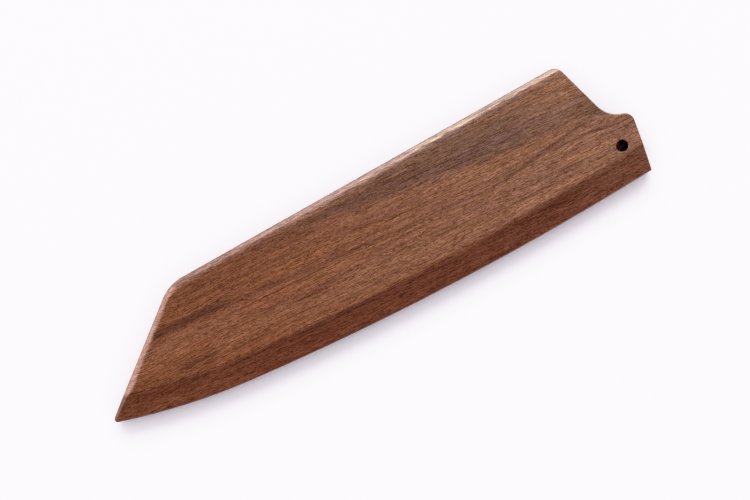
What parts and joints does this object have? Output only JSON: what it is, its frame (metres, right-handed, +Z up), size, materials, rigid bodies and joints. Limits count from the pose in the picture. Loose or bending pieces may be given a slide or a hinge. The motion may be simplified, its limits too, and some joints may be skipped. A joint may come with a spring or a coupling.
{
  "type": "knife blade guard",
  "caption": "Flat laminated wooden guard with a blade-shaped slot, a cut-back tip, a bevelled belly and a pin hole at its ear.",
  "frame": {"origin": "centre of the underside of the box round the guard, on the face that the guard lies on", "axes": "+X along the spine towards the handle end, +Y across the guard towards the spine, +Z up"},
  "size_m": [0.23, 0.0538, 0.0112],
  "materials": {
    "upper_board_wood": "walnut, sanded and oiled to a satin sheen",
    "lower_board_wood": "walnut, sanded and oiled to a satin sheen",
    "spacer_wood": "walnut, sanded and oiled to a satin sheen"
  },
  "bodies": {
    "root": {"lower_board": "lower_board_wood", "edge_spacer": "spacer_wood", "tip_spacer": "spacer_wood", "spine_spacer": "spacer_wood", "upper_board": "upper_board_wood"}
  },
  "joints": []
}
